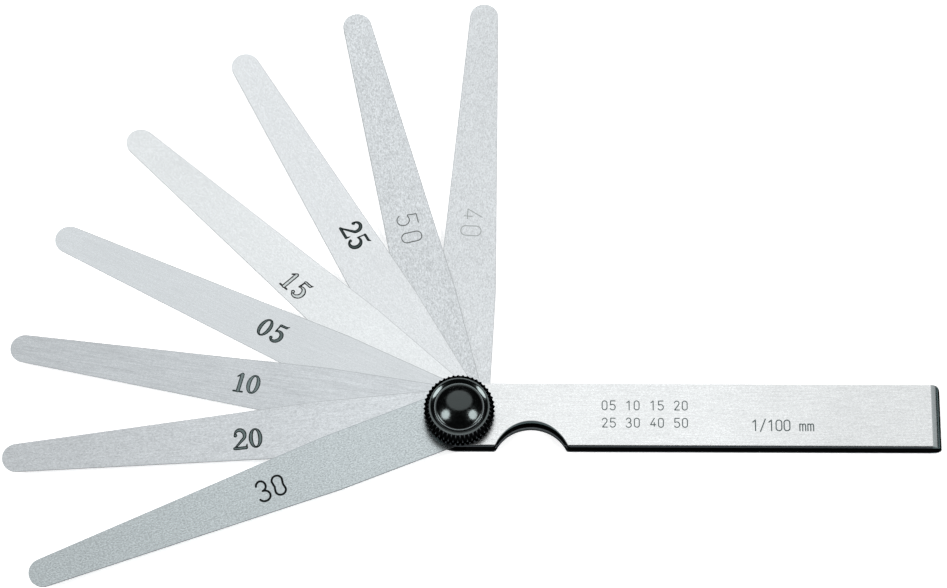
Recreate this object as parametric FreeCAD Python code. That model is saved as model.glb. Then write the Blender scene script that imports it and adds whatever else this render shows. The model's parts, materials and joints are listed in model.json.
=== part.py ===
import FreeCAD, Part
import math
import os

# Leaf feeler gauge: eight tapered steel leaves that fan out of a folded sheet sheath.
# A countersunk screw is the pivot, and a knurled nut with a domed cap clamps the leaves.
# Millimetres. +Z is the pivot axis, z = 0 is the underside of the sheath, and the sheath
# runs from the pivot towards +X. Its open side faces +Y and its spine faces -Y.

V = FreeCAD.Vector
UP = V(0, 0, 1)
FAR = 60.0

# Leaves
LEAF_HALF_WIDTH = 6.35
LEAF_TAPER_START = 30.0
LEAF_TIP_R = 3.2

# Leaf thickness, length and direction in the fan, in degrees from +X, from the top of the stack down
LEAVES = [
    ("blade_030", 0.30, 99.6, 202.1),
    ("blade_020", 0.20, 100.0, 186.0),
    ("blade_010", 0.10, 100.0, 170.9),
    ("blade_005", 0.05, 99.3, 154.6),
    ("blade_015", 0.15, 100.0, 137.9),
    ("blade_025", 0.25, 100.0, 120.2),
    ("blade_050", 0.50, 100.0, 104.1),
    ("blade_040", 0.40, 100.0, 86.9),
]

# Sheath
SHEET = 0.95
SHEATH_HEIGHT = 4.4
SHEATH_END_X = 105.2
OPEN_EDGE_Y = 7.0
SPINE_Y = -7.4
SPINE_START_X = 1.4
SPINE_CORNER_R = 0.3
OPEN_CORNER_R = 1.2
POCKET_FLOOR = SHEET
POCKET_ROOF = SHEATH_HEIGHT - SHEET

# Finger notch in the spine side, cut a little shallower in the lower plate than in the upper
NOTCH_X = 15.75
NOTCH_R = 8.6
NOTCH_FOOT_R = 0.9
NOTCH_TOP_UPPER = -1.87
NOTCH_TOP_LOWER = -2.3

# Seam where the folded spine meets the lower plate
SEAM_WIDTH = 0.15
SEAM_DEPTH = 0.25

# Pivot screw
SHANK_R = 2.5
RUNNING_CLEARANCE = 0.05
FIXED_CLEARANCE = 0.02
HEAD_R = 4.2
SCREW_TOP = 7.45
SCREW_CHAMFER = 0.4
SLOT_WIDTH = 1.0
SLOT_DEPTH = 0.5

# Washer under the nut
WASHER_R = 5.0
WASHER_BORE_R = 2.6
WASHER_BOTTOM = SHEATH_HEIGHT + 0.02
WASHER_THICKNESS = 0.3

# Knurled nut, with heights above its own base
NUT_BASE = SHEATH_HEIGHT + 0.05
NUT_R = 7.85
NUT_FOOT_CHAMFER = 0.35
KNURL_TOP = 3.3
KNURL_TEETH = 45
KNURL_DEPTH = 0.35
CREST_R = 6.5
CREST_HEIGHT = 4.55
CREST_LAND = 0.12
DISH_EDGE_HEIGHT = 4.08
DISH_SAG = 0.03
WASHER_RECESS_R = 5.1
WASHER_RECESS_DEPTH = 0.36

# Domed cap in the nut: a flat lip round a dome, with a fillet between them
CAP_R = 5.44
CAP_SEAT = 3.2
CAP_LIP_HEIGHT = 4.3
CAP_LIP_WIDTH = 0.19
DOME_R = 8.4
DOME_FOOT_R = 4.85


def slab(outline, bottom, top):
    """Solid between two heights from a closed list of edges in the XY plane."""
    face = Part.Face(Part.Wire(outline))
    face.translate(V(0, 0, bottom))
    return face.extrude(V(0, 0, top - bottom))


def box(x0, y0, z0, x1, y1, z1):
    return Part.makeBox(x1 - x0, y1 - y0, z1 - z0, V(x0, y0, z0))


def line(a, b):
    return Part.makeLine(V(*a), V(*b))


def arc(a, middle, b):
    return Part.Arc(V(*a), V(*middle), V(*b)).toShape()


def cylinder(radius, bottom, top, x=0.0, y=0.0):
    return Part.makeCylinder(radius, top - bottom, V(x, y, bottom), UP)


def turned(edges):
    """Solid of revolution about Z from a closed profile in the XZ plane."""
    face = Part.Face(Part.Wire(edges))
    return face.revolve(V(0, 0, 0), UP, 360)


def leaf(thickness, length, bottom, angle):
    """A leaf: round at the pivot, parallel, then tapered to a round tip."""
    tip_x = length - LEAF_TIP_R
    run = tip_x - LEAF_TAPER_START
    reach = math.hypot(run, LEAF_HALF_WIDTH)
    lean = math.pi - math.atan2(LEAF_HALF_WIDTH, run) - math.acos(LEAF_TIP_R / reach)
    touch_x = tip_x + LEAF_TIP_R * math.cos(lean)
    touch_y = LEAF_TIP_R * math.sin(lean)
    w = LEAF_HALF_WIDTH
    outline = [
        arc((0, w, 0), (-w, 0, 0), (0, -w, 0)),
        line((0, -w, 0), (LEAF_TAPER_START, -w, 0)),
        line((LEAF_TAPER_START, -w, 0), (touch_x, -touch_y, 0)),
        arc((touch_x, -touch_y, 0), (length, 0, 0), (touch_x, touch_y, 0)),
        line((touch_x, touch_y, 0), (LEAF_TAPER_START, w, 0)),
        line((LEAF_TAPER_START, w, 0), (0, w, 0)),
    ]
    solid = slab(outline, bottom, bottom + thickness)
    solid = solid.cut(cylinder(SHANK_R + RUNNING_CLEARANCE, bottom - 1, bottom + thickness + 1))
    solid.rotate(V(0, 0, 0), UP, angle)
    return solid


def leaf_stack():
    """All leaves, evenly spaced in the pocket of the sheath, each turned to its place in the fan."""
    total = sum(row[1] for row in LEAVES)
    gap = (POCKET_ROOF - POCKET_FLOOR - total) / (len(LEAVES) + 1)
    leaves = {}
    top = POCKET_ROOF
    for name, thickness, length, angle in LEAVES:
        bottom = top - gap - thickness
        leaves[name] = leaf(thickness, length, bottom, angle)
        top = bottom
    return leaves


def plate_outline():
    """Outline of both plates: round about the pivot, square but for one rounded far corner."""
    mid_y = (OPEN_EDGE_Y + SPINE_Y) / 2
    end_r = (OPEN_EDGE_Y - SPINE_Y) / 2
    corner = OPEN_CORNER_R
    bulge = corner * (1 - math.sqrt(0.5))
    x_end = SHEATH_END_X
    return [
        arc((0, OPEN_EDGE_Y, 0), (-end_r, mid_y, 0), (0, SPINE_Y, 0)),
        line((0, SPINE_Y, 0), (x_end, SPINE_Y, 0)),
        line((x_end, SPINE_Y, 0), (x_end, OPEN_EDGE_Y - corner, 0)),
        arc((x_end, OPEN_EDGE_Y - corner, 0), (x_end - bulge, OPEN_EDGE_Y - bulge, 0),
            (x_end - corner, OPEN_EDGE_Y, 0)),
        line((x_end - corner, OPEN_EDGE_Y, 0), (0, OPEN_EDGE_Y, 0)),
    ]


def bent_end(inset):
    """A block with a half-round far end, as deep in Y as the cutters, for the bend round the end."""
    r = SHEATH_HEIGHT / 2 - inset
    centre_x = SHEATH_END_X - SHEATH_HEIGHT / 2
    low = (centre_x, -FAR, inset)
    high = (centre_x, -FAR, SHEATH_HEIGHT - inset)
    outline = [
        line((-FAR, -FAR, inset), low),
        arc(low, (centre_x + r, -FAR, SHEATH_HEIGHT / 2), high),
        line(high, (-FAR, -FAR, SHEATH_HEIGHT - inset)),
        line((-FAR, -FAR, SHEATH_HEIGHT - inset), (-FAR, -FAR, inset)),
    ]
    return Part.Face(Part.Wire(outline)).extrude(V(0, 2 * FAR, 0))


def spine_section():
    """The sheath's section across its length, with both spine corners rounded."""
    r = SPINE_CORNER_R
    bulge = r * (1 - math.sqrt(0.5))
    y = SPINE_Y
    h = SHEATH_HEIGHT
    outline = [
        line((-FAR, FAR, 0), (-FAR, y + r, 0)),
        arc((-FAR, y + r, 0), (-FAR, y + bulge, bulge), (-FAR, y, r)),
        line((-FAR, y, r), (-FAR, y, h - r)),
        arc((-FAR, y, h - r), (-FAR, y + bulge, h - bulge), (-FAR, y + r, h)),
        line((-FAR, y + r, h), (-FAR, FAR, h)),
        line((-FAR, FAR, h), (-FAR, FAR, 0)),
    ]
    return Part.Face(Part.Wire(outline)).extrude(V(4 * FAR, 0, 0))


def notch_outline(top):
    """Outline of the finger notch: an arc that rolls out into the spine edge over a small round."""
    centre_y = top - NOTCH_R
    foot_y = SPINE_Y + NOTCH_FOOT_R
    apart = NOTCH_R + NOTCH_FOOT_R
    foot_x = math.sqrt(apart ** 2 - (foot_y - centre_y) ** 2)
    touch_x = foot_x * NOTCH_R / apart
    touch_y = centre_y + (foot_y - centre_y) * NOTCH_R / apart
    turn = math.atan2(foot_x - touch_x, foot_y - touch_y) / 2
    middle_x = foot_x - NOTCH_FOOT_R * math.sin(turn)
    middle_y = foot_y - NOTCH_FOOT_R * math.cos(turn)
    outside = SPINE_Y - 1
    edges = [arc((NOTCH_X - touch_x, touch_y, 0), (NOTCH_X, top, 0), (NOTCH_X + touch_x, touch_y, 0))]
    for side in (-1, 1):
        edges.append(arc((NOTCH_X + side * touch_x, touch_y, 0), (NOTCH_X + side * middle_x, middle_y, 0),
                         (NOTCH_X + side * foot_x, SPINE_Y, 0)))
        edges.append(line((NOTCH_X + side * foot_x, SPINE_Y, 0), (NOTCH_X + side * foot_x, outside, 0)))
    edges.append(line((NOTCH_X - foot_x, outside, 0), (NOTCH_X + foot_x, outside, 0)))
    return edges


def sheath():
    """One folded sheet: two plates, a spine, a half-round end, a pocket open towards +Y."""
    solid = slab(plate_outline(), 0, SHEATH_HEIGHT)
    solid = solid.common(bent_end(0.0)).common(spine_section())

    behind_spine = box(-FAR, SPINE_Y + SHEET, -1, 4 * FAR, FAR, SHEATH_HEIGHT + 1)
    pocket = bent_end(SHEET).common(behind_spine)
    mouth = box(-FAR, -FAR, POCKET_FLOOR, SPINE_START_X, FAR, POCKET_ROOF)
    solid = solid.cut(pocket).cut(mouth)

    middle = SHEATH_HEIGHT / 2
    upper_notch = slab(notch_outline(NOTCH_TOP_UPPER), middle, SHEATH_HEIGHT + 1)
    lower_notch = slab(notch_outline(NOTCH_TOP_LOWER), -1, middle)
    seam = box(-FAR, SPINE_Y - 1, POCKET_FLOOR, 4 * FAR, SPINE_Y + SEAM_DEPTH, POCKET_FLOOR + SEAM_WIDTH)
    solid = solid.cut(upper_notch).cut(lower_notch).cut(seam)

    hole = cylinder(SHANK_R + FIXED_CLEARANCE, POCKET_ROOF - 1, SHEATH_HEIGHT + 1)
    return solid.cut(hole).cut(screw_head(FIXED_CLEARANCE))


def screw_head(clearance):
    """The countersunk head, or with a clearance the cone that it needs in the lower plate."""
    return Part.makeCone(HEAD_R + clearance, SHANK_R + clearance, SHEET, V(0, 0, 0), UP)


def pivot_screw():
    """Countersunk screw, flush below, with its shank plain where the thread would be."""
    tip = SCREW_TOP - SCREW_CHAMFER
    shank = cylinder(SHANK_R, 0, tip)
    point = Part.makeCone(SHANK_R, SHANK_R - SCREW_CHAMFER, SCREW_CHAMFER, V(0, 0, tip), UP)
    slot = box(-HEAD_R - 1, -SLOT_WIDTH / 2, -1, HEAD_R + 1, SLOT_WIDTH / 2, SLOT_DEPTH)
    return screw_head(0.0).fuse(shank).fuse(point).cut(slot).removeSplitter()


def thrust_washer():
    top = WASHER_BOTTOM + WASHER_THICKNESS
    ring = cylinder(WASHER_R, WASHER_BOTTOM, top)
    return ring.cut(cylinder(WASHER_BORE_R, WASHER_BOTTOM - 1, top + 1))


def knurl_outline():
    """Closed zigzag round the nut: one V groove between each pair of teeth."""
    corners = []
    for step in range(2 * KNURL_TEETH):
        radius = NUT_R - KNURL_DEPTH * (step % 2)
        turn = math.pi * step / KNURL_TEETH
        corners.append((radius * math.cos(turn), radius * math.sin(turn), 0))
    return [line(a, b) for a, b in zip(corners, corners[1:] + corners[:1])]


def nut_section():
    """Profile of the nut: knurled flank, chamfer, crest, shallow dish, seat of the cap, bore."""
    z = NUT_BASE
    bore = SHANK_R + RUNNING_CLEARANCE
    cap_bore = CAP_R + FIXED_CLEARANCE
    crest_in = CREST_R - CREST_LAND / 2
    corners = [
        (cap_bore, z + DISH_EDGE_HEIGHT),
        (cap_bore, z + CAP_SEAT),
        (bore, z + CAP_SEAT),
        (bore, z + WASHER_RECESS_DEPTH),
        (WASHER_RECESS_R, z + WASHER_RECESS_DEPTH),
        (WASHER_RECESS_R, z),
        (NUT_R - NUT_FOOT_CHAMFER, z),
        (NUT_R, z + NUT_FOOT_CHAMFER),
        (NUT_R, z + KNURL_TOP),
        (CREST_R + CREST_LAND / 2, z + CREST_HEIGHT),
        (crest_in, z + CREST_HEIGHT),
    ]
    edges = [line((a[0], 0, a[1]), (b[0], 0, b[1])) for a, b in zip(corners, corners[1:])]
    dish_mid = (
        (crest_in + cap_bore) / 2,
        0,
        z + (CREST_HEIGHT + DISH_EDGE_HEIGHT) / 2 - DISH_SAG,
    )
    start, end = corners[-1], corners[0]
    edges.append(arc((start[0], 0, start[1]), dish_mid, (end[0], 0, end[1])))
    return edges


def knurled_nut():
    teeth = slab(knurl_outline(), NUT_BASE, NUT_BASE + CREST_HEIGHT)
    return turned(nut_section()).common(teeth)


def nut_cap():
    """Plug in the top of the nut: a flat lip, a hollow fillet and a dome."""
    seat = NUT_BASE + CAP_SEAT
    lip = NUT_BASE + CAP_LIP_HEIGHT
    lip_in = CAP_R - CAP_LIP_WIDTH
    slope = math.asin(DOME_FOOT_R / DOME_R)
    fillet_r = (lip_in - DOME_FOOT_R) / math.sin(slope)
    foot = lip + fillet_r * (1 - math.cos(slope))
    centre = foot - DOME_R * math.cos(slope)
    fillet_mid = (
        lip_in - fillet_r * math.sin(slope / 2),
        0,
        lip + fillet_r * (1 - math.cos(slope / 2)),
    )
    dome_mid = (DOME_R * math.sin(slope / 2), 0, centre + DOME_R * math.cos(slope / 2))
    edges = [
        line((0, 0, seat), (CAP_R, 0, seat)),
        line((CAP_R, 0, seat), (CAP_R, 0, lip)),
        line((CAP_R, 0, lip), (lip_in, 0, lip)),
        arc((lip_in, 0, lip), fillet_mid, (DOME_FOOT_R, 0, foot)),
        arc((DOME_FOOT_R, 0, foot), dome_mid, (0, 0, centre + DOME_R)),
        line((0, 0, centre + DOME_R), (0, 0, seat)),
    ]
    return turned(edges)


def main():
    os.makedirs("parts", exist_ok=True)
    nodes = {
        "sheath": sheath(),
        "pivot_screw": pivot_screw(),
        "thrust_washer": thrust_washer(),
        "knurled_nut": knurled_nut(),
        "nut_cap": nut_cap(),
    }
    nodes.update(leaf_stack())
    for name, shape in nodes.items():
        shape.exportStep("parts/" + name + ".step")


main()
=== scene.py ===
import json
import math

import bpy
import numpy as np
from mathutils import Matrix, Vector


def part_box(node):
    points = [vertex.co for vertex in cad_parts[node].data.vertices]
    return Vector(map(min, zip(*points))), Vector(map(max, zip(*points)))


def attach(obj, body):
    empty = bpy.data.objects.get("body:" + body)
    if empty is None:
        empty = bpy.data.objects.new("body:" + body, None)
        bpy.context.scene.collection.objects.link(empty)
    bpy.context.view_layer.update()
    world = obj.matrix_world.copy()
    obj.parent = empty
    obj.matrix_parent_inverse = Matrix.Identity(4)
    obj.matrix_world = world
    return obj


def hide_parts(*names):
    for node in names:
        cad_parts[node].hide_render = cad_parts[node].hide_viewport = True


# Looks of a leaf feeler gauge. Lengths are in metres, and MM turns millimetres into them.
MM = 0.001

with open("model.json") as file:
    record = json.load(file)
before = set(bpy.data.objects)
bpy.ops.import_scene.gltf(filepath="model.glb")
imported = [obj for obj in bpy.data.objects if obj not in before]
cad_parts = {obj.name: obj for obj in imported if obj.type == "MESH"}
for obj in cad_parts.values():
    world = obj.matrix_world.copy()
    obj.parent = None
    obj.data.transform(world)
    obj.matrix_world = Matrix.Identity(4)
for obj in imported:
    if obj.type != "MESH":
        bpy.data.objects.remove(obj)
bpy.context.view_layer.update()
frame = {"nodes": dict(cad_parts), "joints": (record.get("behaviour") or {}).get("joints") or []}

# Camera: a long lens that looks down at the fan from the spine side
CAMERA_AIM = Vector((3.02, 28.80, 2.2)) * MM
CAMERA_DISTANCE = 893.97 * MM
CAMERA_ELEVATION = math.radians(68.82)
CAMERA_ROLL = math.radians(0.21)
CAMERA_LENS = 153.6

# Knurled nut: heights above its base, radii from the pivot axis
KNURL_TEETH = 45
KNURL_STEPS_PER_TOOTH = 8
KNURL_DEPTH = 0.42 * MM
KNURL_HELIX_PITCH = 2.97 * MM
KNURL_TOP = 3.3 * MM
KNURL_ROWS = 30
NUT_FOOT_CHAMFER = 0.35 * MM
NUT_FOOT_LAND = 0.3 * MM
NUT_FOOT_LIFT = 0.02 * MM
NUT_BORE_R = 2.55 * MM
WASHER_RECESS_R = 5.1 * MM
WASHER_RECESS_DEPTH = 0.36 * MM

# Shoulder above the knurl, which loses a share of the knurl's depth on the way up to the crest
SHOULDER_ROWS = 12
SHOULDER_FADE = 0.5
SHOULDER_DROP = 0.06 * MM

# Crest and dish of the nut, down to the seam round the cap
CREST_R = 6.5 * MM
CREST_LAND = 0.08 * MM
CREST_EDGE = 0.02 * MM
CREST_ROUND = 0.8 * MM
CREST_TILT = math.radians(22)
# Width of the crest's band of lighter, more reflective black: partly wear, partly painted sheen
CREST_WEAR_AND_SHEEN = 0.14 * MM
DISH_TILT = math.radians(36)
DISH_STEPS = 8
SEAM_R = 5.46 * MM
SEAM_DEPTH = 0.5 * MM
NUT_CREASE = 28

# Domed cap: a flat lip round a dome, with a fillet between them
CAP_LIP_WIDTH = 0.19 * MM
CAP_LIP_ROUND = 0.05 * MM
CAP_POLE_R = 0.002 * MM
CAP_TURN_STEPS = 256
CAP_CREASE = 50
DOME_R = 8.4 * MM
DOME_FOOT_R = 4.85 * MM
DOME_STEPS = 32
FILLET_STEPS = 12

# Leaves: half width, where the taper starts and the round tip
LEAF_HALF_WIDTH = 6.35 * MM
LEAF_TAPER_START = 30 * MM
LEAF_TIP_R = 3.2 * MM
LEAF_TIP_CENTRE = 96.8 * MM
LEAF_EDGE_ROUND = 0.08 * MM
LEAF_EDGE_SHARE = 0.35

# Leaves: how far the painted shade along the edges reaches in, its level, and the painted shade of the side
# walls
LEAF_EDGE_SHADE_START = 0.07 * MM
LEAF_EDGE_SHADE_END = 0.16 * MM
LEAF_EDGE_SHADE_LEVEL = 0.66
LEAF_WALL_SHADE = 0.05

# Sheath: the finger notch in the upper plate and the crescent of painted shade over its arch
NOTCH_X = 15.75 * MM
NOTCH_TOP = -1.87 * MM
NOTCH_R = 8.6 * MM
CRESCENT_TOP = -1.6 * MM
CRESCENT_R = 7.9 * MM
CRESCENT_BLUR = 0.08 * MM
# Painted highlight on the lower plate's lip below the notch, as a distance in from the notch's edge
LIP_HIGHLIGHT_START = 0.02 * MM
LIP_HIGHLIGHT_END = 0.12 * MM
SHEATH_EDGE_ROUND = 0.10 * MM
SHARP_EDGE = math.radians(40)

# Sheath zones of painted light and shade, as a distance from its far end, its spine, its open side or the
# middle of its height
BEND_START = 2.15 * MM
BEND_END = 2.0 * MM
SPINE_START = 0.8 * MM
SPINE_END = 1.0 * MM
OPEN_SIDE_START = 0.4 * MM
OPEN_SIDE_END = 0.3 * MM
LOWER_BLUR = 0.1 * MM
POCKET_END = 1.28 * MM
PLATE_START = 1.50 * MM

# Sheath greys: level, tint and blue share of the tint. The bend's grey is a painted reflection, the
# crescent, walls and pocket are painted shade, the open side's walls painted light, and the lip a painted
# highlight
SHEATH_GREYS = {
    "bend": (0.35, 0.09, 0.2),
    "crescent_shade": (0.07, 0.15, 0.6),
    "painted_wall_shading": (0.12, 0.28, 0.1),
    "shaded_wall": (0.045, 0.15, 0.6),
    "open_side_painted_light": (0.45, 0.03, 0.6),
    "pocket": (0.002, 0.10, 0.6),
    "lip": (0.17, 0.10, 0.6),
}

# Flatness from which a face counts as a face and no longer as a wall, which takes painted shade
FLAT_START = 0.80
LEAF_FLAT_END = 0.97
SHEATH_FLAT_END = 0.89

# Grain of the steel, as noise scales along and across it
STREAK_SCALE = (150, 3400, 3400)
SPECK_SCALE = (2400, 3800, 3800)
CLOUD_SCALE = 60.0
CLOUD_SHADE = 0.015
BUMP_DEPTH = 0.01 * MM

# A noise runs from 0 to 1, and nearly all of it lies between these values
NOISE_LOW = 0.3
NOISE_HIGH = 0.7

# Lettering: the figures' box is 1 high, with a margin round it
INK_LIFT = 0.012 * MM
INK_DEPTH = 0.016 * MM
GLYPH_CELL = 0.055 * MM
GLYPH_MARGIN = 0.15
GLYPH_SPAN = 0.85
GLYPH_MIDDLE = 0.30
RING_STEPS = 32

# Studio: the floor's half size in metres, and each light's direction from the pivot, distance, size
# and power. The rear fill stands low in front, where steel seen from behind reflects it.
FLOOR_HALF_SIZE = 14.0
FLOOR_GLOW = 0.5
WORLD_LIGHT = 0.015
LIGHTS = {
    "softbox": ((0, 0.56, 0.828), 1.0, (1.36, 1.32), 5.10),
    "left_lamp": ((-0.661, -0.134, 0.739), 1.0, (0.46, 0.46), 5.0),
    "rear_fill": ((0, -0.94, 0.34), 1.2, (2.6, 0.62), 2.2),
    "right_lamp": ((0.661, -0.134, 0.739), 1.0, (0.46, 0.46), 5.0),
}


# ---------------------------------------------------------------- small helpers

def new_object(name, vertices, faces, smooth=True):
    mesh = bpy.data.meshes.new(name)
    mesh.from_pydata([tuple(v) for v in vertices], [], faces)
    mesh.update()
    mesh.polygons.foreach_set("use_smooth", [smooth] * len(mesh.polygons))
    obj = bpy.data.objects.new(name, mesh)
    bpy.context.scene.collection.objects.link(obj)
    return obj


def arc_points(cx, cy, rx, ry, start, end, steps):
    """Points on an ellipse from one angle to another, in degrees."""
    points = []
    for i in range(steps + 1):
        turn = math.radians(start + (end - start) * i / steps)
        points.append((cx + rx * math.cos(turn), cy + ry * math.sin(turn)))
    return points


def rest_angle(body):
    """Direction of a leaf in the fan: its closed position lies that far back from rest."""
    for joint in frame["joints"]:
        if joint["child"] == body and joint["type"] == "hinge":
            return math.radians(-joint["range_deg"][0])
    raise ValueError(body)


# ---------------------------------------------------------------- materials

class Nodes:
    """A material's node tree, with short calls for the nodes that these materials use."""

    def __init__(self, name):
        self.material = bpy.data.materials.new(name)
        self.material.use_nodes = True
        self.tree = self.material.node_tree
        self.tree.nodes.clear()
        self.output = self.tree.nodes.new("ShaderNodeOutputMaterial")
        self.shader = self.tree.nodes.new("ShaderNodeBsdfPrincipled")
        self.link(self.shader.outputs["BSDF"], self.output.inputs["Surface"])

    def link(self, source, target):
        self.tree.links.new(source, target)

    def set(self, **values):
        for key, value in values.items():
            self.shader.inputs[key.replace("_", " ")].default_value = value

    def place(self, angle=0.0, scale=(1, 1, 1)):
        """Object coordinates turned back by an angle about Z, then scaled up."""
        coords = self.tree.nodes.new("ShaderNodeTexCoord")
        mapping = self.tree.nodes.new("ShaderNodeMapping")
        mapping.vector_type = "TEXTURE"
        mapping.inputs["Rotation"].default_value = (0, 0, angle)
        mapping.inputs["Scale"].default_value = [1 / s for s in scale]
        self.link(coords.outputs["Object"], mapping.inputs["Vector"])
        return mapping.outputs["Vector"]

    def noise(self, vector, scale, detail=2.0, roughness=0.5):
        node = self.tree.nodes.new("ShaderNodeTexNoise")
        node.inputs["Scale"].default_value = scale
        node.inputs["Detail"].default_value = detail
        node.inputs["Roughness"].default_value = roughness
        self.link(vector, node.inputs["Vector"])
        return node.outputs["Fac"]

    def math(self, kind, a, b=0.0):
        node = self.tree.nodes.new("ShaderNodeMath")
        node.operation = kind
        for socket, value in zip(node.inputs, (a, b)):
            if isinstance(value, (int, float)):
                socket.default_value = value
            else:
                self.link(value, socket)
        return node.outputs[0]

    def spread(self, value, low, high, to_low, to_high, smooth=False):
        node = self.tree.nodes.new("ShaderNodeMapRange")
        if smooth:
            node.interpolation_type = "SMOOTHSTEP"
        node.inputs["From Min"].default_value = low
        node.inputs["From Max"].default_value = high
        node.inputs["To Min"].default_value = to_low
        node.inputs["To Max"].default_value = to_high
        self.link(value, node.inputs["Value"])
        return node.outputs["Result"]

    def vary(self, noise, to_low, to_high):
        """A noise, spread from one value to another over its usual range."""
        return self.spread(noise, NOISE_LOW, NOISE_HIGH, to_low, to_high)

    def mix(self, factor, a, b):
        """A colour mix. Sockets 0, 6 and 7 are its factor and colours, and output 2 is its colour."""
        node = self.tree.nodes.new("ShaderNodeMix")
        node.data_type = "RGBA"
        self.link(factor, node.inputs[0])
        for socket, value in ((node.inputs[6], a), (node.inputs[7], b)):
            if isinstance(value, tuple):
                socket.default_value = value
            else:
                self.link(value, socket)
        return node.outputs[2]

    def axis(self, name, angle=0.0):
        """One object coordinate, in metres, after a turn back by an angle about Z."""
        split = self.tree.nodes.new("ShaderNodeSeparateXYZ")
        self.link(self.place(angle), split.inputs["Vector"])
        return split.outputs[name]

    def flatness(self):
        """1 on faces that lie flat, 0 on edges and walls."""
        geometry = self.tree.nodes.new("ShaderNodeNewGeometry")
        split = self.tree.nodes.new("ShaderNodeSeparateXYZ")
        turn = self.tree.nodes.new("ShaderNodeVectorTransform")
        turn.vector_type = "NORMAL"
        turn.convert_from = "WORLD"
        turn.convert_to = "OBJECT"
        self.link(geometry.outputs["True Normal"], turn.inputs["Vector"])
        self.link(turn.outputs["Vector"], split.inputs["Vector"])
        return self.math("ABSOLUTE", split.outputs["Z"])

    def bump(self, height, strength, distance):
        node = self.tree.nodes.new("ShaderNodeBump")
        node.inputs["Strength"].default_value = strength
        node.inputs["Distance"].default_value = distance
        self.link(height, node.inputs["Height"])
        self.link(node.outputs["Normal"], self.shader.inputs["Normal"])


def grey(level, tint=0.0, blue=0.6):
    """A grey, cooler for a larger tint: less red, and more blue by a share of the tint."""
    return (level * (1 - tint), level, level * (1 + tint * blue), 1.0)


def brushed_face(m, tone, tint, blue, angle, streak, grain, far):
    """Colour and shade of a flat steel face: streaks along one direction, fine grain.

    far is how bright the metal stays at the far end, and where that change starts and ends."""
    lines = m.noise(m.place(angle, STREAK_SCALE), 1.0, detail=3.0, roughness=0.6)
    speck = m.noise(m.place(angle, SPECK_SCALE), 1.0, detail=3.0, roughness=0.75)
    cloud = m.noise(m.place(angle), CLOUD_SCALE, detail=3.0)
    along = m.spread(m.axis("X", angle), far[1], far[2], 1.0, far[0])
    streaks = m.vary(lines, -streak, streak)
    specks = m.vary(speck, -grain, grain)
    clouds = m.spread(cloud, 0.35, 0.65, -CLOUD_SHADE, CLOUD_SHADE)
    shade = m.math("ADD", m.math("ADD", streaks, specks), clouds)
    level = m.math("MULTIPLY", along, m.math("ADD", shade, 1.0))
    factor = m.spread(level, 0.4, 1.4, 0.0, 1.0)
    return m.mix(factor, grey(tone * 0.4, tint, blue), grey(tone * 1.4, tint, blue)), shade


def finish_metal(m, colour, shade, roughness):
    """Gives a steel its colour, and makes it a little smoother where it is brighter."""
    m.link(colour, m.shader.inputs["Base Color"])
    m.link(m.spread(shade, -0.2, 0.2, roughness + 0.05, roughness - 0.05), m.shader.inputs["Roughness"])
    m.set(Metallic=1.0, Specular_Tint=(0.45, 0.45, 0.45, 1.0))
    m.bump(shade, 0.25, BUMP_DEPTH)


def leaf_metal(body):
    """Spring steel with painted shade on the side walls, and a thin line of painted shade along the edges.
    """
    tone, tint, blue, streak, grain, roughness, tip = LEAF_FINISH[body]
    angle = rest_angle(body)
    m = Nodes("spring_steel_" + body)
    face, shade = brushed_face(m, tone, tint, blue, angle, streak, grain, (tip, 0.0, 0.1))
    # Painted shade: a thin darker line along the leaf's edges
    width = m.spread(m.axis("X", angle), LEAF_TAPER_START, LEAF_TIP_CENTRE, LEAF_HALF_WIDTH, LEAF_TIP_R)
    margin = m.math("SUBTRACT", width, m.math("ABSOLUTE", m.axis("Y", angle)))
    rim = m.spread(margin, LEAF_EDGE_SHADE_START, LEAF_EDGE_SHADE_END, 0.0, 1.0, smooth=True)
    face = m.mix(rim, grey(tone * LEAF_EDGE_SHADE_LEVEL, tint), face)
    # Painted shade on the side walls, picked by how flat a face lies
    flat = m.spread(m.flatness(), FLAT_START, LEAF_FLAT_END, 0.0, 1.0, smooth=True)
    finish_metal(m, m.mix(flat, grey(LEAF_WALL_SHADE, tint), face), shade, roughness)
    return m.material


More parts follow.
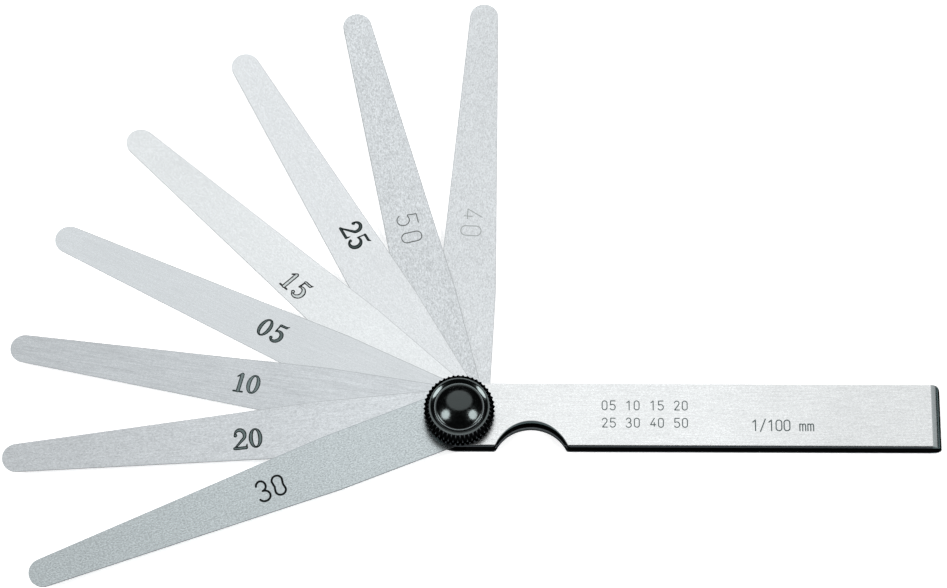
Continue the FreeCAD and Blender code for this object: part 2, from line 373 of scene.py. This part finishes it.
def sheath_metal():
    """Satin nickel plate with painted shade on its walls, darkest near the spine and on the lower plate, a
    black painted shade inside the pocket, painted light on the open side's walls, and a matt band on the
    bend at the far end painted with the grey-blue reflection it shows.

    The finger notch has a crescent of painted shade over its arch, and the lower plate's lip shows below it
    with a painted highlight."""
    low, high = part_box("sheath")
    middle = (low.z + high.z) / 2
    m = Nodes("satin_nickel")

    def reach(centre_y):
        """Distance from a point on the notch's centre line."""
        across = m.math("SUBTRACT", m.axis("X"), NOTCH_X)
        up = m.math("SUBTRACT", m.axis("Y"), centre_y)
        return m.math("SQRT", m.math("ADD", m.math("MULTIPLY", across, across), m.math("MULTIPLY", up, up)))

    face, shade = brushed_face(m, tone=0.770, tint=0.028, blue=0.3, angle=0.0, streak=0.07, grain=0.15,
                               far=(0.88, 0.055, 0.090))
    # Painted reflection: a grey-blue band on the bend at the far end
    bend = m.spread(m.axis("X"), high.x - BEND_START, high.x - BEND_END, 0.0, 1.0)
    face = m.mix(bend, face, grey(*SHEATH_GREYS["bend"]))
    # Painted shade: a dark crescent over the notch's arch
    crescent_shade = m.spread(reach(CRESCENT_TOP - CRESCENT_R), CRESCENT_R - CRESCENT_BLUR,
                        CRESCENT_R + CRESCENT_BLUR, 1.0, 0.0)
    face = m.mix(crescent_shade, face, grey(*SHEATH_GREYS["crescent_shade"]))

    # Painted shade on the walls, darkest near the spine and on the lower plate but not on the bend
    spine = m.spread(m.axis("Y"), low.y + SPINE_START, low.y + SPINE_END, 1.0, 0.0)
    lower = m.spread(m.axis("Z"), middle - LOWER_BLUR, middle + LOWER_BLUR, 1.0, 0.0)
    shaded = m.math("MULTIPLY", m.math("MAXIMUM", spine, lower), m.math("SUBTRACT", 1.0, bend))
    painted_wall_shading = m.mix(shaded, grey(*SHEATH_GREYS["painted_wall_shading"]), grey(*SHEATH_GREYS["shaded_wall"]))
    # Painted light on the open side's walls
    open_side_painted_light = m.spread(m.axis("Y"), high.y - OPEN_SIDE_START, high.y - OPEN_SIDE_END, 0.0, 1.0)
    painted_wall_shading = m.mix(open_side_painted_light, painted_wall_shading, grey(*SHEATH_GREYS["open_side_painted_light"]))

    # Flat faces keep the plate's colour; walls take the painted shade, and the pocket between the plates a
    # black painted shade
    flat = m.spread(m.flatness(), FLAT_START, SHEATH_FLAT_END, 0.0, 1.0, smooth=True)
    from_middle = m.math("ABSOLUTE", m.math("SUBTRACT", m.axis("Z"), middle))
    plate = m.spread(from_middle, POCKET_END, PLATE_START, 0.0, 1.0)
    colour = m.mix(plate, grey(*SHEATH_GREYS["pocket"]), m.mix(flat, painted_wall_shading, face))
    # Painted highlight on the lower plate's lip, on its flat faces below the notch
    lip = m.spread(reach(NOTCH_TOP - NOTCH_R), NOTCH_R - LIP_HIGHLIGHT_END, NOTCH_R - LIP_HIGHLIGHT_START, 1.0, 0.0)
    colour = m.mix(m.math("MULTIPLY", lip, flat), colour, grey(*SHEATH_GREYS["lip"]))
    finish_metal(m, colour, shade, roughness=0.26)

    # Metallic off where the pocket's shade and the lip's highlight are painted, and mostly off on the bend's
    # painted reflection, so these greys show as painted
    matt_bend = m.spread(m.math("MULTIPLY", bend, flat), 0.0, 1.0, 1.0, 0.15)
    shine = m.math("MULTIPLY", m.math("MULTIPLY", plate, matt_bend), m.math("SUBTRACT", 1.0, lip))
    m.link(shine, m.shader.inputs["Metallic"])
    m.set(Specular_IOR_Level=0.0)
    return m.material


def turned_metal(name, tone, roughness):
    """Turned steel: fine rings round the pivot axis."""
    m = Nodes(name)
    rings = m.tree.nodes.new("ShaderNodeTexWave")
    rings.wave_type = "RINGS"
    rings.rings_direction = "Z"
    rings.inputs["Scale"].default_value = 1100.0
    rings.inputs["Distortion"].default_value = 0.6
    m.link(m.place(), rings.inputs["Vector"])
    blur = m.noise(m.place(), 900.0, detail=3.0)
    shade = m.math("ADD", m.math("MULTIPLY", rings.outputs["Fac"], 0.5), m.math("MULTIPLY", blur, 0.5))
    m.link(m.mix(shade, grey(tone * 0.8), grey(tone)), m.shader.inputs["Base Color"])
    m.link(m.vary(blur, roughness - 0.06, roughness + 0.06), m.shader.inputs["Roughness"])
    m.set(Metallic=1.0)
    m.bump(shade, 0.3, BUMP_DEPTH)
    return m.material


# Gloss blacks: tone, roughness, index of refraction, scale of the specks and bump. The crest's and the lip's
# blacks are lighter and more reflective copies: partly wear, partly painted sheen.
BLACKS = {
    "crest_black_wear_and_sheen": (0.020, 0.12, 1.95, 2600.0, 0.02),
    "lip_black_wear_and_sheen": (0.030, 0.12, 2.3, 2600.0, 0.02),
    "nut_gloss_black": (0.001, 0.12, 1.75, 2600.0, 0.03),
    "cap_polished_black": (0.001, 0.16, 1.65, 1600.0, 0.02),
}


def black_gloss(name):
    """Gloss black finish with faint unevenness."""
    level, roughness, ior, speck_scale, bump = BLACKS[name]
    m = Nodes(name)
    cloud = m.noise(m.place(), 240.0, detail=4.0)
    speck = m.noise(m.place(), speck_scale, detail=2.0)
    m.link(m.mix(cloud, grey(level * 0.7, 0.1), grey(level * 1.5, 0.1)), m.shader.inputs["Base Color"])
    m.link(m.vary(speck, roughness * 0.7, roughness * 1.3), m.shader.inputs["Roughness"])
    m.set(IOR=ior, Metallic=0.0, Specular_Tint=(0.86, 1.0, 1.0, 1.0))
    m.bump(m.math("ADD", cloud, speck), bump, BUMP_DEPTH)
    return m.material


def knurl_black(groove, peak, roughness):
    """Black finish on the knurl: painted shade in the grooves, and lighter peaks that are partly wear and
    partly a painted glint.
    """
    m = Nodes("knurl_black")
    cloud = m.noise(m.place(), 900.0, detail=3.0)
    knurl_shade_and_wear = m.tree.nodes.new("ShaderNodeAttribute")
    knurl_shade_and_wear.attribute_name = "knurl_shade_and_wear"
    wear_and_sheen = m.spread(knurl_shade_and_wear.outputs["Fac"], 0.45, 0.95, 0.0, 1.0, smooth=True)
    m.link(m.mix(wear_and_sheen, grey(groove, 0.1), grey(peak, 0.1)), m.shader.inputs["Base Color"])
    m.link(m.vary(cloud, roughness - 0.05, roughness + 0.05), m.shader.inputs["Roughness"])
    m.set(Metallic=1.0, Specular_Tint=(0.1, 0.1, 0.1, 1.0))
    m.bump(cloud, 0.1, BUMP_DEPTH)
    return m.material


def ink(name, outline, fill, rim, tint):
    """Etched figures: dark at the outline, lighter inside, by how deep a point is in its stroke."""
    m = Nodes(name)
    depth = m.tree.nodes.new("ShaderNodeAttribute")
    depth.attribute_name = "depth"
    patch = m.noise(m.place(), 4200.0, detail=2.0)
    depth_mm = m.math("MULTIPLY", depth.outputs["Fac"], 1 / MM)
    wobble = m.math("ADD", depth_mm, m.vary(patch, -0.06, 0.06))
    inside = m.spread(wobble, rim * 0.7, rim * 1.2, 0.0, 1.0, smooth=True)
    colour = m.mix(inside, grey(outline, tint * 1.8, 0.0), grey(fill, tint, 0.0))
    m.link(colour, m.shader.inputs["Base Color"])
    m.link(m.vary(patch, 0.55, 0.7), m.shader.inputs["Roughness"])
    m.set(Metallic=0.0, Specular_IOR_Level=0.1)
    m.bump(patch, 0.2, BUMP_DEPTH)
    return m.material


# ---------------------------------------------------------------- knurled nut and cap

def lathe(name, profile, steps, radius=None, closed=False):
    """Turns (radius, height) points about Z. radius(point, turn) may move each one in or out."""
    vertices, faces = [], []
    for point in profile:
        for step in range(steps):
            turn = 2 * math.pi * step / steps
            r = point[0] if radius is None else radius(point, turn)
            vertices.append((r * math.cos(turn), r * math.sin(turn), point[1]))
    rings = len(profile)
    for ring in range(rings if closed else rings - 1):
        following = (ring + 1) % rings
        for step in range(steps):
            after = (step + 1) % steps
            faces.append((ring * steps + step, ring * steps + after,
                          following * steps + after, following * steps + step))
    return new_object(name, vertices, faces)


def diamond(turn, height):
    """Diamond knurl: 0 in a groove and 1 on the peak of a tooth."""
    along = KNURL_TEETH * turn / (2 * math.pi)
    rise = height / KNURL_HELIX_PITCH
    one = 1 - abs(2 * ((along + rise) % 1) - 1)
    other = 1 - abs(2 * ((along - rise) % 1) - 1)
    return min(one, other)


def nut_profile(base, rim, bore):
    """(radius, height, knurl weight) down the bore's side of the nut, round it and up to the cap."""
    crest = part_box("knurled_nut")[1].z
    recess = base + WASHER_RECESS_DEPTH
    points = [(bore, recess, 0.0), (WASHER_RECESS_R, recess, 0.0), (WASHER_RECESS_R, base, 0.0)]
    points.append((rim - NUT_FOOT_CHAMFER - NUT_FOOT_LAND, base, 0.0))
    points.append((rim - NUT_FOOT_CHAMFER, base + NUT_FOOT_LIFT, 0.5))
    start, end = base + NUT_FOOT_CHAMFER, base + KNURL_TOP
    for row in range(KNURL_ROWS + 1):
        points.append((rim, start + (end - start) * row / KNURL_ROWS, 1.0))
    shoulder_r = CREST_R + CREST_LAND
    for row in range(1, SHOULDER_ROWS + 1):
        part = row / SHOULDER_ROWS
        weight = 1.0 - SHOULDER_FADE * part
        points.append((rim + (shoulder_r - rim) * part, end + (crest - SHOULDER_DROP - end) * part, weight))
    points.append((shoulder_r, crest - CREST_EDGE, 0.0))
    points.append((CREST_R + CREST_LAND * 0.8, crest, 0.0))
    for step in range(DISH_STEPS + 1):
        tilt = CREST_TILT * step / DISH_STEPS
        points.append((CREST_R - CREST_ROUND * math.sin(tilt),
                       crest - CREST_ROUND * (1 - math.cos(tilt)), 0.0))
    start_r, start_z = points[-1][:2]
    dish_round = (start_r - SEAM_R) / (math.sin(DISH_TILT) - math.sin(CREST_TILT))
    for step in range(1, DISH_STEPS + 1):
        tilt = CREST_TILT + (DISH_TILT - CREST_TILT) * step / DISH_STEPS
        points.append((start_r - dish_round * (math.sin(tilt) - math.sin(CREST_TILT)),
                       start_z - dish_round * (math.cos(CREST_TILT) - math.cos(tilt)), 0.0))
    bottom = points[-1][1]
    points.append((SEAM_R, bottom - SEAM_DEPTH, 0.0))
    points.append((bore, bottom - SEAM_DEPTH, 0.0))
    return points


def paint_by_radius(obj, zones):
    """Gives each face the first material whose (inner, outer) radii hold the face's centre."""
    for zone in zones:
        obj.data.materials.append(zone[0])
    for face in obj.data.polygons:
        radius = math.hypot(face.center.x, face.center.y)
        for index, zone in enumerate(zones):
            if zone[1] <= radius < zone[2]:
                face.material_index = index
                break


def make_nut(knurl, polish, wear_and_sheen):
    low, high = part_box("knurled_nut")

    def knurled(point, turn):
        return point[0] - KNURL_DEPTH * point[2] * (1 - diamond(turn, point[1] - low.z))

    profile = nut_profile(low.z, high.x, NUT_BORE_R)
    nut = lathe("nut_diamond_knurl", profile, KNURL_TEETH * KNURL_STEPS_PER_TOOTH, knurled, closed=True)
    outer = CREST_R + CREST_LAND
    # How high each point sits on its tooth: it drives the painted shade in the grooves and the lighter
    # peaks, partly wear, partly painted glint
    knurl_shade_and_wear = nut.data.attributes.new("knurl_shade_and_wear", "FLOAT", "POINT")
    knurl_shade_and_wear.data.foreach_set("value", [diamond(math.atan2(v.co.y, v.co.x), v.co.z - low.z)
                                    for v in nut.data.vertices])
    # The crest's band gets the lighter, more reflective black: partly wear, partly painted sheen
    paint_by_radius(nut, [(wear_and_sheen, CREST_R - CREST_WEAR_AND_SHEEN, outer), (polish, 0, outer), (knurl, outer, math.inf)])
    sharpen(nut, NUT_CREASE)
    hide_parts("knurled_nut")
    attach(nut, "nut")


def make_cap(polish, wear_and_sheen):
    low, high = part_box("nut_cap")
    rim = high.x
    slope = math.asin(DOME_FOOT_R / DOME_R)
    lip_in = rim - CAP_LIP_WIDTH
    fillet = (lip_in - DOME_FOOT_R) / math.sin(slope)
    centre = high.z - DOME_R
    lip = centre + DOME_R * math.cos(slope) - fillet * (1 - math.cos(slope))
    e = CAP_LIP_ROUND
    profile = [(rim, low.z), (rim, lip - e * 1.5), (rim, lip - e), (rim - e * 0.3, lip - e * 0.3)]
    profile += [(rim - e, lip), (lip_in + e, lip), (lip_in, lip)]
    for step in range(1, FILLET_STEPS + 1):
        turn = slope * step / FILLET_STEPS
        profile.append((lip_in - fillet * math.sin(turn), lip + fillet * (1 - math.cos(turn))))
    for step in range(1, DOME_STEPS + 1):
        turn = slope * (1 - step / DOME_STEPS)
        profile.append((max(DOME_R * math.sin(turn), CAP_POLE_R), centre + DOME_R * math.cos(turn)))
    profile.append((CAP_POLE_R, low.z))
    cap = lathe("nut_dome_cap", profile, CAP_TURN_STEPS, closed=True)
    # The lip and the rim below it get the lighter, more reflective black: partly wear, partly painted sheen
    paint_by_radius(cap, [(wear_and_sheen, lip_in, math.inf), (polish, 0, lip_in)])
    sharpen(cap, CAP_CREASE)
    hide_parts("nut_cap")
    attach(cap, "nut")


def sharpen(obj, degrees):
    """Shades edges sharper than this angle as creases."""
    obj.data.set_sharp_from_angle(angle=math.radians(degrees))


# ---------------------------------------------------------------- lettering

def line_glyphs(weight, waist=0.0):
    """Figures drawn with one even line, in a box 1 high. Each stroke is points and a half width."""
    def even(points):
        return [(x, y, weight) for x, y in points]

    zero = arc_points(0.29, 0.74, 0.24, 0.23, 0, 180, 14) + [(0.05 + waist, 0.5)]
    zero += arc_points(0.29, 0.26, 0.24, 0.23, 180, 360, 14) + [(0.53 - waist, 0.5)]
    return {
        "0": [even(zero + zero[:1])],
        "1": [even([(0.12, 0.78), (0.34, 0.97), (0.34, 0.03)])],
        "2": [even(arc_points(0.29, 0.72, 0.23, 0.25, 165, -35, 14) + [(0.07, 0.03), (0.55, 0.03)])],
        "3": [even(arc_points(0.27, 0.75, 0.22, 0.24, 165, -90, 14)),
              even(arc_points(0.27, 0.26, 0.27, 0.25, 90, -155, 14))],
        "4": [even([(0.44, 0.98), (0.06, 0.30), (0.56, 0.30)]), even([(0.42, 0.52), (0.42, 0.14)])],
        "5": [even([(0.54, 0.97), (0.10, 0.97), (0.07, 0.56)]
                   + arc_points(0.28, 0.31, 0.27, 0.29, 125, -150, 16))],
        "/": [even([(0.08, -0.05), (0.50, 1.05)])],
        "m": [even([(0.02, 0.03), (0.02, 0.62)]),
              even(arc_points(0.14, 0.50, 0.12, 0.13, 180, 0, 8) + [(0.26, 0.03)]),
              even(arc_points(0.38, 0.50, 0.12, 0.13, 180, 0, 8) + [(0.50, 0.03)])],
        " ": [],
    }


def bold_glyphs(weight):
    """Book figures with thick stems, thin joins and serifs. Strokes are (x, y, half width)."""
    def ring(cx, cy, rx, ry, thin, thick):
        points = []
        for i in range(RING_STEPS + 1):
            turn = 2 * math.pi * i / RING_STEPS
            width = thin + (thick - thin) * abs(math.cos(turn)) ** 1.6
            points.append((cx + rx * math.cos(turn), cy + ry * math.sin(turn), width * weight))
        return points

    def swell(points, first, middle, last):
        """Half width that grows from the first point to the middle and shrinks to the last."""
        count = len(points) - 1
        out = []
        for i, (x, y) in enumerate(points):
            part = i / count
            bulge = math.sin(math.pi * part)
            width = first + (last - first) * part + (middle - (first + last) / 2) * bulge
            out.append((x, y, width * weight))
        return out

    def bar(x0, y0, x1, y1, w0, w1):
        return [(x0, y0, w0 * weight), (x1, y1, w1 * weight)]

    return {
        "0": [ring(0.30, 0.50, 0.220, 0.440, 0.045, 0.095)],
        "1": [bar(0.31, 0.08, 0.31, 0.90, 0.090, 0.090), bar(0.12, 0.80, 0.30, 0.94, 0.035, 0.060),
              bar(0.10, 0.045, 0.52, 0.045, 0.042, 0.042)],
        "2": [bar(0.10, 0.70, 0.11, 0.72, 0.080, 0.080),
              swell(arc_points(0.30, 0.69, 0.23, 0.27, 165, -30, 18), 0.040, 0.095, 0.075),
              bar(0.50, 0.555, 0.05, 0.10, 0.075, 0.045), bar(0.03, 0.070, 0.56, 0.070, 0.075, 0.075),
              bar(0.58, 0.09, 0.61, 0.25, 0.055, 0.022)],
        "5": [bar(0.17, 0.91, 0.47, 0.91, 0.068, 0.068), bar(0.47, 0.91, 0.57, 1.00, 0.060, 0.020),
              bar(0.16, 0.93, 0.12, 0.54, 0.036, 0.036),
              swell(arc_points(0.27, 0.32, 0.245, 0.28, 125, -140, 22), 0.040, 0.105, 0.042),
              bar(0.10, 0.17, 0.11, 0.165, 0.078, 0.078)],
    }


def stroke_depth(px, py, strokes):
    """How far inside the nearest stroke each point is, with tapered segments. Outside is negative."""
    best = np.full(px.shape, -1.0)
    for stroke in strokes:
        for (ax, ay, aw), (bx, by, bw) in zip(stroke, stroke[1:]):
            dx, dy = bx - ax, by - ay
            length = dx * dx + dy * dy
            if length == 0:
                continue
            t = np.clip(((px - ax) * dx + (py - ay) * dy) / length, 0, 1)
            gap = np.hypot(px - ax - t * dx, py - ay - t * dy)
            best = np.maximum(best, aw + t * (bw - aw) - gap)
    return best


def contour(depth, x0, y0, cell):
    """Mesh of the region where depth is above zero on a grid, cut along its outline."""
    points, values, faces, known = [], [], [], {}

    def vertex(key, x, y, value):
        if key not in known:
            known[key] = len(points)
            points.append((x0 + x * cell, y0 + y * cell))
            values.append(value)
        return known[key]

    rows, columns = depth.shape
    for j in range(rows - 1):
        for i in range(columns - 1):
            corners = [(i, j), (i + 1, j), (i + 1, j + 1), (i, j + 1)]
            inside = [depth[y, x] > 0 for x, y in corners]
            if not any(inside):
                continue
            loop = []
            for k in range(4):
                a, b = corners[k], corners[(k + 1) % 4]
                da, db = depth[a[1], a[0]], depth[b[1], b[0]]
                if inside[k]:
                    loop.append(vertex(a, a[0], a[1], da))
                if inside[k] != inside[(k + 1) % 4]:
                    t = da / (da - db)
                    key = (min(a, b), max(a, b))
                    loop.append(vertex(key, a[0] + t * (b[0] - a[0]), a[1] + t * (b[1] - a[1]), 0.0))
            if len(loop) > 2:
                faces.append(loop)
    return points, values, faces


def lettering(name, text, glyphs, height, pitch, slant, place, material, body):
    """Figures as thin inlays on a flat face. place(x, y) takes text coordinates to the row frame."""
    width = pitch * (len(text) - 1)
    vertices, values, faces = [], [], []
    for index, letter in enumerate(text):
        strokes = [[(x * height, y * height, w * height) for x, y, w in stroke] for stroke in glyphs[letter]]
        if not strokes:
            continue
        margin = GLYPH_MARGIN * height
        xs = np.arange(-margin, GLYPH_SPAN * height, GLYPH_CELL)
        ys = np.arange(-margin, height + margin, GLYPH_CELL)
        px, py = np.meshgrid(xs, ys)
        points, depths, cells = contour(stroke_depth(px, py, strokes), -margin, -margin, GLYPH_CELL)
        offset = len(vertices)
        for x, y in points:
            across = x - GLYPH_MIDDLE * height + index * pitch - width / 2 + slant * (y - height / 2)
            vertices.append(place(across, y - height / 2))
        values += depths
        faces += [[offset + v for v in cell] for cell in cells]
    obj = new_object(name, vertices, faces, smooth=False)
    attribute = obj.data.attributes.new("depth", "FLOAT", "POINT")
    attribute.data.foreach_set("value", values)
    thick = obj.modifiers.new("thickness", "SOLIDIFY")
    thick.thickness = INK_DEPTH
    thick.offset = -1.0
    obj.data.materials.append(material)
    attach(obj, body)


def leaf_place(body, along, across):
    """Text coordinates on a leaf: the text reads from the tip towards the pivot."""
    angle = rest_angle(body)
    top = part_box(body)[1].z + INK_LIFT
    out = Vector((math.cos(angle), math.sin(angle), 0))
    side = Vector((-math.sin(angle), math.cos(angle), 0))

    def place(x, y):
        point = out * (along - x) + side * (across - y)
        return (point.x, point.y, top)

    return place


def sheath_place(centre_x, centre_y):
    """Text coordinates on the sheath: the text reads away from the pivot."""
    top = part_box("sheath")[1].z + INK_LIFT

    def place(x, y):
        return (centre_x + x, centre_y + y, top)

    return place


# Leaf figures: text, glyphs, height, pitch, slant, distance along the leaf, offset across it,
# then the tone at the outline, the tone inside, the width of the outline and the tint
LEAF_TEXT = {
    "blade_030": ("30", line_glyphs(0.050, 0.04), 4.8, 3.6, 0.00, 44.1, 0.4, 0.006, 0.008, 0.30, 0.28),
    "blade_020": ("20", bold_glyphs(1.06), 4.7, 3.4, 0.00, 46.4, 0.7, 0.010, 0.16, 0.25, 0.24),
    "blade_010": ("10", bold_glyphs(1.08), 4.6, 2.95, 0.10, 47.2, 0.1, 0.025, 0.20, 0.22, 0.22),
    "blade_005": ("05", bold_glyphs(1.00), 4.6, 3.3, 0.16, 45.9, -0.2, 0.010, 0.13, 0.22, 0.24),
    "blade_015": ("15", bold_glyphs(1.16), 4.6, 3.3, 0.10, 47.5, 1.6, 0.012, 0.62, 0.27, 0.08),
    "blade_025": ("25", bold_glyphs(0.92), 4.8, 3.35, 0.00, 48.7, -1.3, 0.008, 0.07, 0.27, 0.28),
    "blade_050": ("50", line_glyphs(0.024), 4.8, 4.3, 0.00, 45.9, 0.1, 0.12, 0.12, 0.20, 0.05),
    "blade_040": ("40", line_glyphs(0.022), 4.8, 4.1, 0.00, 46.3, 0.0, 0.36, 0.36, 0.20, 0.04),
}


# Sheath figures: name, text, height, and the middle of the line along and across the sheath
SHEATH_TEXT = [
    ("figures_sheath_upper", "05 10 15 20", 2.2, 40.5, 2.0),
    ("figures_sheath_lower", "25 30 40 50", 2.2, 40.5, -2.0),
    ("figures_sheath_unit", "1/100 mm", 2.6, 70.6, -2.5),
]
SHEATH_TEXT_WEIGHT = 0.05
SHEATH_TEXT_PITCH = 1.75


def make_lettering():
    for body, row in LEAF_TEXT.items():
        text, glyphs, height, pitch, slant, along, across, *tones = row
        place = leaf_place(body, along * MM, across * MM)
        lettering("figures_" + body, text, glyphs, height * MM, pitch * MM, slant, place,
                  ink("etch_" + body, *tones), body)
    mark = ink("engraved_mark", outline=0.11, fill=0.17, rim=0.2, tint=0.12)
    for name, text, height, x, y in SHEATH_TEXT:
        lettering(name, text, line_glyphs(SHEATH_TEXT_WEIGHT), height * MM, SHEATH_TEXT_PITCH * MM, 0.0,
                  sheath_place(x * MM, y * MM), mark, "handle")


# ---------------------------------------------------------------- carried-over nodes

def dress(node, material, edge_round=0.0):
    """Puts a material on a carried-over node, and softens its sharp edges."""
    obj = frame["nodes"][node]
    obj.data.materials.clear()
    obj.data.materials.append(material)
    if edge_round > 0:
        bevel = obj.modifiers.new("soft_edges", "BEVEL")
        bevel.width = edge_round
        bevel.segments = 2
        bevel.limit_method = "ANGLE"
        bevel.angle_limit = SHARP_EDGE


# Leaf finish: tone, tint, blue share of the tint, lengthwise streaks, grain, roughness,
# and the brightness left at the tip
LEAF_FINISH = {
    "blade_030": (0.540, 0.095, 0.30, 0.02, 0.32, 0.26, 0.79),
    "blade_020": (0.640, 0.052, 0.70, 0.06, 0.20, 0.26, 0.74),
    "blade_010": (0.590, 0.055, 0.70, 0.09, 0.12, 0.25, 0.80),
    "blade_005": (0.608, 0.052, 0.60, 0.04, 0.08, 0.26, 1.00),
    "blade_015": (0.755, 0.040, 0.40, 0.02, 0.12, 0.29, 0.93),
    "blade_025": (0.690, 0.040, 0.60, 0.02, 0.14, 0.29, 1.02),
    "blade_050": (0.595, 0.050, 0.60, 0.02, 0.32, 0.32, 1.05),
    "blade_040": (0.650, 0.045, 0.60, 0.02, 0.24, 0.32, 0.96),
}


def make_metal():
    for body in LEAF_FINISH:
        low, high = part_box(body)
        dress(body, leaf_metal(body), min(LEAF_EDGE_ROUND, (high.z - low.z) * LEAF_EDGE_SHARE))
    dress("sheath", sheath_metal(), SHEATH_EDGE_ROUND)
    dress("pivot_screw", turned_metal("turned_screw", tone=0.62, roughness=0.30))
    dress("thrust_washer", turned_metal("turned_washer", tone=0.55, roughness=0.34))


# ---------------------------------------------------------------- studio

def area_light(name, direction, distance, size, power):
    """An elliptical soft light that shines at the pivot."""
    data = bpy.data.lights.new(name, "AREA")
    data.shape = "ELLIPSE"
    data.size, data.size_y = size
    data.energy = power
    light = bpy.data.objects.new(name, data)
    bpy.context.scene.collection.objects.link(light)
    towards = Vector(direction).normalized()
    light.location = towards * distance
    light.rotation_euler = towards.to_track_quat("Z", "Y").to_euler()


def make_studio():
    half = FLOOR_HALF_SIZE
    floor = new_object("floor", [(-half, -half, 0), (half, -half, 0), (half, half, 0), (-half, half, 0)],
                       [(0, 1, 2, 3)], smooth=False)
    m = Nodes("floor_paper")
    grain = m.noise(m.place(), 900.0)
    m.link(m.mix(grain, grey(0.90), grey(0.93)), m.shader.inputs["Base Color"])
    m.set(Roughness=0.9, Emission_Color=(1, 1, 1, 1), Emission_Strength=FLOOR_GLOW)
    floor.data.materials.append(m.material)

    for name, row in LIGHTS.items():
        area_light(name, *row)

    world = bpy.data.worlds.new("studio")
    world.use_nodes = True
    background = world.node_tree.nodes["Background"]
    background.inputs["Color"].default_value = (1, 1, 1, 1)
    background.inputs["Strength"].default_value = WORLD_LIGHT
    bpy.context.scene.world = world
    bpy.context.scene.view_settings.view_transform = "Standard"


def make_camera():
    data = bpy.data.cameras.new("camera")
    data.lens = CAMERA_LENS
    data.clip_start = 0.05
    data.clip_end = 40.0
    camera = bpy.data.objects.new("camera", data)
    bpy.context.scene.collection.objects.link(camera)
    back = Vector((0, -math.cos(CAMERA_ELEVATION), math.sin(CAMERA_ELEVATION)))
    right = Vector((1, 0, 0))
    up = back.cross(right)
    turned_right = right * math.cos(CAMERA_ROLL) + up * math.sin(CAMERA_ROLL)
    turned_up = up * math.cos(CAMERA_ROLL) - right * math.sin(CAMERA_ROLL)
    axes = Matrix((turned_right, turned_up, back)).transposed().to_4x4()
    camera.matrix_world = Matrix.Translation(CAMERA_AIM + back * CAMERA_DISTANCE) @ axes
    bpy.context.scene.camera = camera


make_studio()
make_camera()
make_metal()
# Knurl: painted shade in the grooves, lighter peaks that are partly wear and partly painted glint
make_nut(knurl_black(groove=0.004, peak=0.135, roughness=0.30),
         black_gloss("nut_gloss_black"), black_gloss("crest_black_wear_and_sheen"))
make_cap(black_gloss("cap_polished_black"), black_gloss("lip_black_wear_and_sheen"))
make_lettering()
